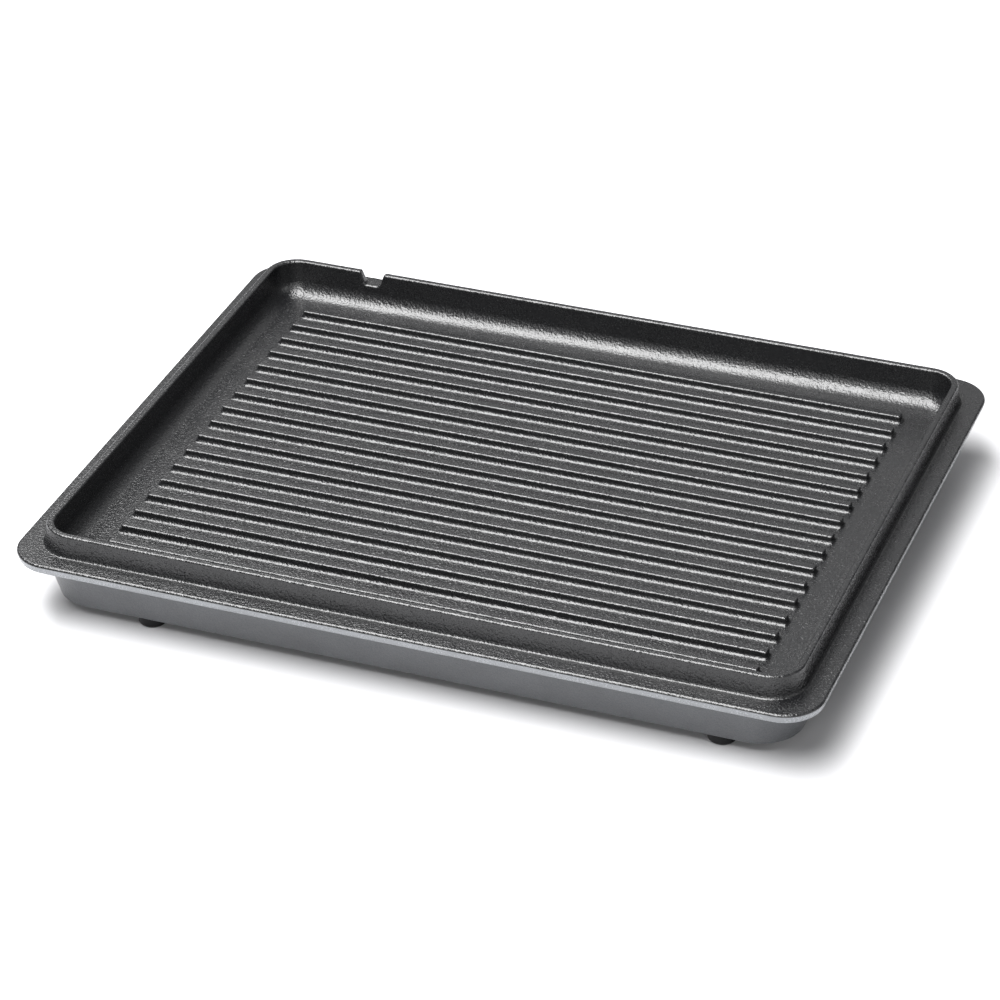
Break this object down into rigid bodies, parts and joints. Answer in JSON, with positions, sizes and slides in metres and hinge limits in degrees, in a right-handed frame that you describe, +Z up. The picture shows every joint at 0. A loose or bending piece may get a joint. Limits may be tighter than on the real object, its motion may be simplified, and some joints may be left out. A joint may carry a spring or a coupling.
{
  "type": "hibachi grill",
  "caption": "Low rectangular table-top hibachi grill: ribbed dark cast plate with raised rim, flange, pouring notch, hollow skirt with heating element, small feet.",
  "frame": {"origin": "on the table, under the centre of the plate's outline", "axes": "+Z up, +X along the plate's longer side, parallel to the ribs, -Y the front; the pouring notch is in the rear rim, near its left corner"},
  "size_m": [0.381, 0.302, 0.0435],
  "materials": {
    "cast_plate": "cast, dark grey speckled non-stick coating, satin",
    "element_sheath": "annealed dark steel sheath",
    "plated_steel": "zinc plated",
    "plated_pins": "nickel plated",
    "ceramic": "unglazed steatite",
    "reflector_sheet": "bright rolled sheet",
    "cover_sheet": "black heat-resistant paint, fine texture",
    "phenolic": "moulded phenolic, matt",
    "contact_brass": "spring brass strip",
    "foot_plastic": "black moulded phenolic, glossy"
  },
  "bodies": {
    "root": {"grill_plate": "cast_plate", "heating_element": "element_sheath", "terminal_pins": "plated_pins", "terminal_insulators": "ceramic", "element_clamps": "plated_steel", "clamp_screws": "plated_steel", "heat_reflector": "reflector_sheet", "reflector_spacers": "plated_steel", "reflector_screws": "plated_steel", "base_cover": "cover_sheet", "cover_screws": "plated_steel", "socket_housing": "phenolic", "socket_screws": "plated_steel", "earth_contact": "contact_brass", "earth_screw": "plated_steel", "foot_front_left": "foot_plastic", "foot_front_right": "foot_plastic", "foot_rear_left": "foot_plastic", "foot_rear_right": "foot_plastic", "foot_screws": "plated_steel", "foot_washers": "plated_steel"}
  },
  "joints": []
}
